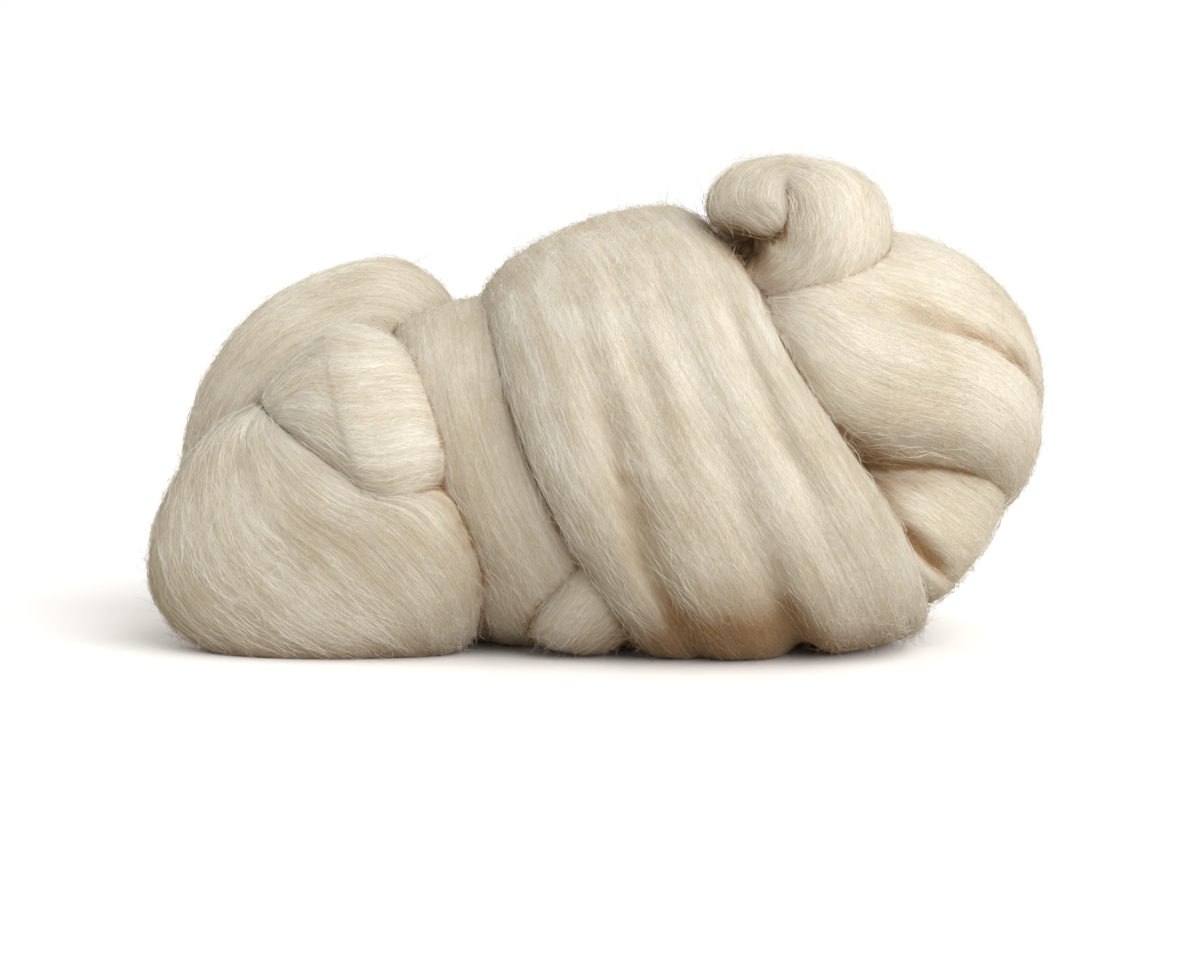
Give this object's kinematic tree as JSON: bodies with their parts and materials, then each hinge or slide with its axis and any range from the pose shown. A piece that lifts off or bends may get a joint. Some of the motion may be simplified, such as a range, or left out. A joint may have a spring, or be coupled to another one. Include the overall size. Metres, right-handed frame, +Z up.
{
  "type": "wool roving bundle",
  "caption": "Bundle of undyed combed wool roving: one thick strand folded and wrapped into soft lobes, with a wide middle wrap and a small rolled curl on top.",
  "frame": {"origin": "middle of the bundle's base, on the floor plane it rests on", "axes": "+X along the bundle to the end with the rolled curl, -Y towards the viewer in front, +Z up"},
  "size_m": [0.2645, 0.1428, 0.1437],
  "materials": {
    "wool": "matt, hairy, undyed cream"
  },
  "bodies": {
    "root": {"wool_roving": "wool"}
  },
  "joints": []
}
